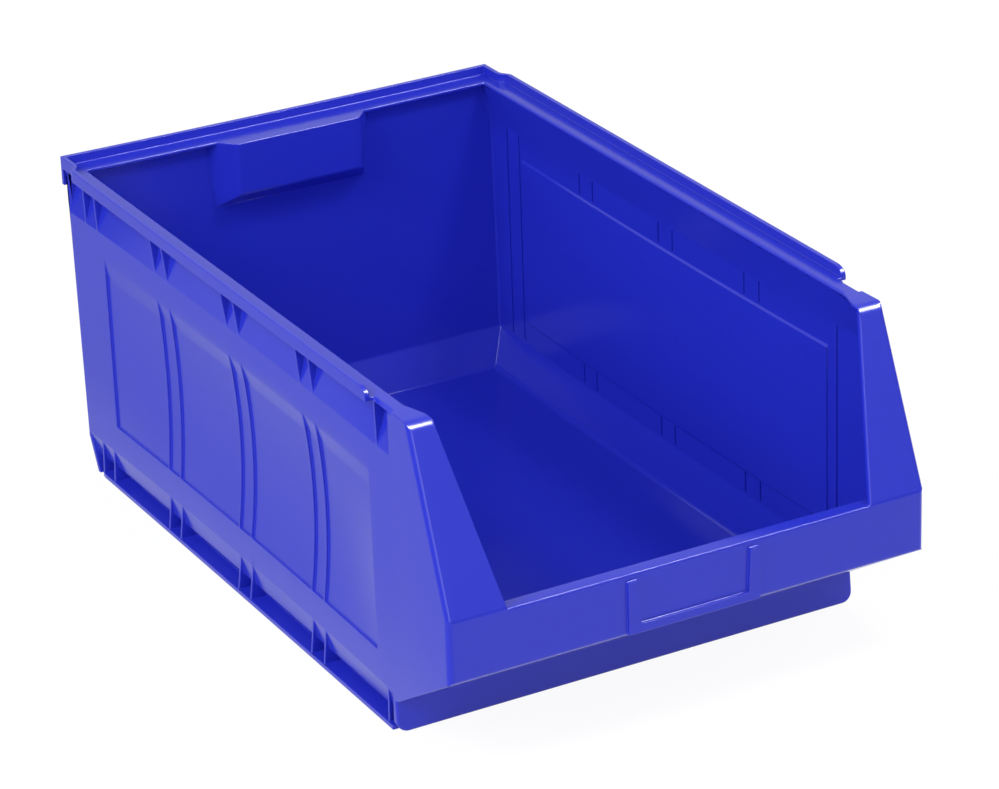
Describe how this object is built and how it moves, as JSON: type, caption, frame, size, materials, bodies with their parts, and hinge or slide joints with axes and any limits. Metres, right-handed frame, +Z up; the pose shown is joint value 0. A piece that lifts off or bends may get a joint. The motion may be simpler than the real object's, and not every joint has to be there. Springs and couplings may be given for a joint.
{
  "type": "open-front storage bin",
  "caption": "Stackable open-front storage bin with sloping front posts, label holder, stacking rim, ribbed side channels and rear finger grip.",
  "frame": {"origin": "centre of the bin's bottom, at the base plate's underside", "axes": "+Y from the open front to the rear wall, +Z up, +X to the right seen from the front"},
  "size_m": [0.31, 0.5038, 0.2064],
  "materials": {
    "blue_moulding": "satin moulded polypropylene"
  },
  "bodies": {
    "root": {"finger_grip": "blue_moulding", "floor_pan": "blue_moulding", "front_band": "blue_moulding", "front_foot": "blue_moulding", "front_ramp": "blue_moulding", "label_sill": "blue_moulding", "left_front_cheek": "blue_moulding", "left_front_post": "blue_moulding", "left_label_rail": "blue_moulding", "left_rim": "blue_moulding", "left_rim_ribs": "blue_moulding", "left_shoulder": "blue_moulding", "left_side_wall": "blue_moulding", "left_sill": "blue_moulding", "left_sill_ribs": "blue_moulding", "rear_rim": "blue_moulding", "rear_sill": "blue_moulding", "rear_wall": "blue_moulding", "right_front_cheek": "blue_moulding", "right_front_post": "blue_moulding", "right_label_rail": "blue_moulding", "right_rim": "blue_moulding", "right_rim_ribs": "blue_moulding", "right_shoulder": "blue_moulding", "right_side_wall": "blue_moulding", "right_sill": "blue_moulding", "right_sill_ribs": "blue_moulding"}
  },
  "joints": []
}
